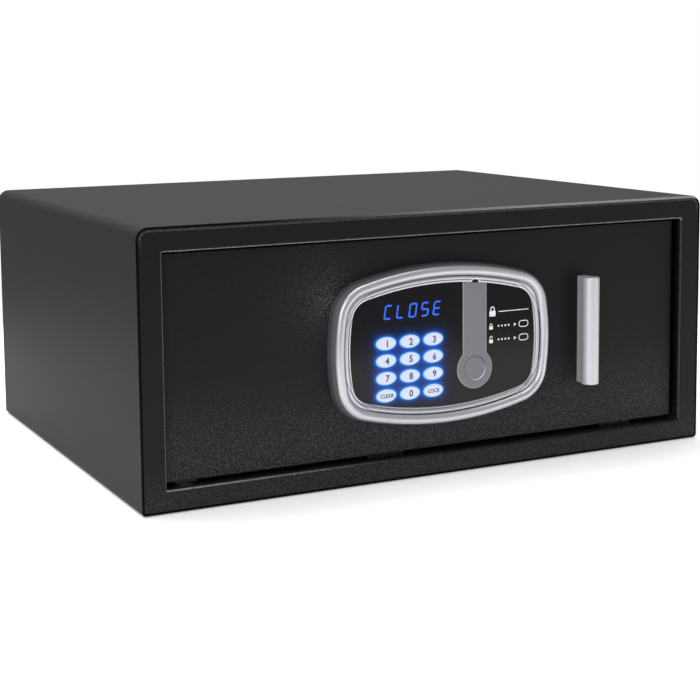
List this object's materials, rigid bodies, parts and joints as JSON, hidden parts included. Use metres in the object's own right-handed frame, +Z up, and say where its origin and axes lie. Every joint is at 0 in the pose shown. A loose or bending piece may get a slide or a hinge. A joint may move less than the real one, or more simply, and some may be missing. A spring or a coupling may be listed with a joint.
{
  "type": "in room safe",
  "caption": "Low steel hotel-room safe with a recessed hinged door, keypad panel in an oval bezel, display, pull handle and motor-driven locking bolts.",
  "frame": {"origin": "centre of the cabinet's base, on the surface it stands on", "axes": "+X to the right seen from the front, the door faces -Y, +Z up"},
  "size_m": [0.48, 0.3813, 0.2],
  "materials": {
    "cabinet_paint": "powder coat, fine texture",
    "frame_paint": "powder coat, satin",
    "door_paint": "powder coat, leather-grain texture",
    "pan_paint": "powder coat, satin",
    "felt": "needle felt",
    "zinc_steel": "zinc plated",
    "bolt_steel": "hard chromed",
    "nylon": "natural",
    "bezel_silver": "satin silver plating",
    "panel_black": "gloss",
    "housing_black": "fine spark texture",
    "strip_grey": "satin",
    "key_lens": "back-lit, translucent",
    "handle_aluminium": "satin anodised",
    "lock_brass": "nickel plated",
    "silicone": "translucent",
    "board_green": "solder mask",
    "display_dark": "smoked",
    "motor_steel": "plain",
    "gear_brass": "turned",
    "cell_jacket": "printed sleeve, plain",
    "wire_black": "plain",
    "wire_red": "plain",
    "ribbon_grey": "ribbon"
  },
  "bodies": {
    "cabinet": {"body_wrap": "cabinet_paint", "back_panel": "cabinet_paint", "front_frame": "frame_paint", "floor_mat": "felt", "door_stops": "frame_paint", "hinge_pin_lower": "zinc_steel", "hinge_pin_upper": "zinc_steel", "hinge_washers": "nylon"},
    "door": {"door_plate": "door_paint", "hinge_lugs": "zinc_steel", "door_pan": "pan_paint", "pan_posts": "zinc_steel", "pan_screws": "zinc_steel", "bezel": "bezel_silver", "bezel_screws": "zinc_steel", "panel_face": "panel_black", "panel_base": "housing_black", "display_module": "display_dark", "keypad_mat": "silicone", "keypad_board": "board_green", "lock_barrel": "lock_brass", "lock_nut": "lock_brass", "handle": "handle_aluminium", "handle_screws": "zinc_steel", "bolt_guide": "zinc_steel", "gearbox": "gear_brass", "motor": "motor_steel", "motor_bracket": "zinc_steel", "control_board": "board_green", "board_spacers": "nylon", "battery_tray": "housing_black", "batteries": "cell_jacket", "battery_contacts": "zinc_steel", "motor_lead": "wire_red", "battery_lead": "wire_black", "keypad_ribbon": "ribbon_grey"},
    "bolt_works": {"bolt_bar": "zinc_steel", "bolt_lower": "bolt_steel", "bolt_upper": "bolt_steel", "bolt_screws": "zinc_steel"},
    "pinion": {"pinion": "gear_brass"},
    "lock": {"lock_plug": "lock_brass", "lock_cam": "zinc_steel"},
    "strip": {"key_cover": "strip_grey"},
    "cap": {"keyhole_cap": "strip_grey"},
    "battery_lid": {"battery_cover": "housing_black"},
    "reset": {"reset_button": "housing_black"},
    "key_1": {"key_1": "key_lens"},
    "key_2": {"key_2": "key_lens"},
    "key_3": {"key_3": "key_lens"},
    "key_4": {"key_4": "key_lens"},
    "key_5": {"key_5": "key_lens"},
    "key_6": {"key_6": "key_lens"},
    "key_7": {"key_7": "key_lens"},
    "key_8": {"key_8": "key_lens"},
    "key_9": {"key_9": "key_lens"},
    "key_clear": {"key_clear": "key_lens"},
    "key_0": {"key_0": "key_lens"},
    "key_lock": {"key_lock": "key_lens"}
  },
  "joints": [
    {"name": "door_hinge", "type": "hinge", "parent": "cabinet", "child": "door", "pos_m": [-0.204, -0.1705, 0.099], "axis": [0, 0, -1], "range_deg": [0, 100]},
    {"name": "bolt_throw", "type": "slide", "parent": "door", "child": "bolt_works", "axis": [1, 0, 0], "range_m": [0, 0.018]},
    {"name": "pinion_turn", "type": "hinge", "parent": "door", "child": "pinion", "pos_m": [0.14, -0.148, 0.099], "axis": [0, 0, 1], "range_deg": [0, 172]},
    {"name": "lock_turn", "type": "hinge", "parent": "door", "child": "lock", "pos_m": [0.0262, -0.165, 0.0782], "axis": [0, 1, 0], "range_deg": [0, 90]},
    {"name": "strip_unclip", "type": "slide", "parent": "door", "child": "strip", "axis": [0, -1, 0], "range_m": [0, 0.025]},
    {"name": "cap_pull", "type": "slide", "parent": "strip", "child": "cap", "axis": [0, -1, 0], "range_m": [0, 0.015]},
    {"name": "battery_lid_lift", "type": "slide", "parent": "door", "child": "battery_lid", "axis": [0, 1, 0], "range_m": [0, 0.02]},
    {"name": "reset_press", "type": "slide", "parent": "door", "child": "reset", "axis": [0, -1, 0], "range_m": [0, 0.0009], "stiffness_N_per_m": 500, "springref_m": -0.0003},
    {"name": "key_1_press", "type": "slide", "parent": "door", "child": "key_1", "axis": [0, 1, 0], "range_m": [0, 0.0012], "stiffness_N_per_m": 700, "springref_m": -0.0003},
    {"name": "key_2_press", "type": "slide", "parent": "door", "child": "key_2", "axis": [0, 1, 0], "range_m": [0, 0.0012], "stiffness_N_per_m": 700, "springref_m": -0.0003},
    {"name": "key_3_press", "type": "slide", "parent": "door", "child": "key_3", "axis": [0, 1, 0], "range_m": [0, 0.0012], "stiffness_N_per_m": 700, "springref_m": -0.0003},
    {"name": "key_4_press", "type": "slide", "parent": "door", "child": "key_4", "axis": [0, 1, 0], "range_m": [0, 0.0012], "stiffness_N_per_m": 700, "springref_m": -0.0003},
    {"name": "key_5_press", "type": "slide", "parent": "door", "child": "key_5", "axis": [0, 1, 0], "range_m": [0, 0.0012], "stiffness_N_per_m": 700, "springref_m": -0.0003},
    {"name": "key_6_press", "type": "slide", "parent": "door", "child": "key_6", "axis": [0, 1, 0], "range_m": [0, 0.0012], "stiffness_N_per_m": 700, "springref_m": -0.0003},
    {"name": "key_7_press", "type": "slide", "parent": "door", "child": "key_7", "axis": [0, 1, 0], "range_m": [0, 0.0012], "stiffness_N_per_m": 700, "springref_m": -0.0003},
    {"name": "key_8_press", "type": "slide", "parent": "door", "child": "key_8", "axis": [0, 1, 0], "range_m": [0, 0.0012], "stiffness_N_per_m": 700, "springref_m": -0.0003},
    {"name": "key_9_press", "type": "slide", "parent": "door", "child": "key_9", "axis": [0, 1, 0], "range_m": [0, 0.0012], "stiffness_N_per_m": 700, "springref_m": -0.0003},
    {"name": "key_clear_press", "type": "slide", "parent": "door", "child": "key_clear", "axis": [0, 1, 0], "range_m": [0, 0.0012], "stiffness_N_per_m": 700, "springref_m": -0.0003},
    {"name": "key_0_press", "type": "slide", "parent": "door", "child": "key_0", "axis": [0, 1, 0], "range_m": [0, 0.0012], "stiffness_N_per_m": 700, "springref_m": -0.0003},
    {"name": "key_lock_press", "type": "slide", "parent": "door", "child": "key_lock", "axis": [0, 1, 0], "range_m": [0, 0.0012], "stiffness_N_per_m": 700, "springref_m": -0.0003}
  ],
  "couplings": [
    {"joint": "pinion_turn", "follows": "bolt_throw", "rad_per_m": 166.67}
  ]
}
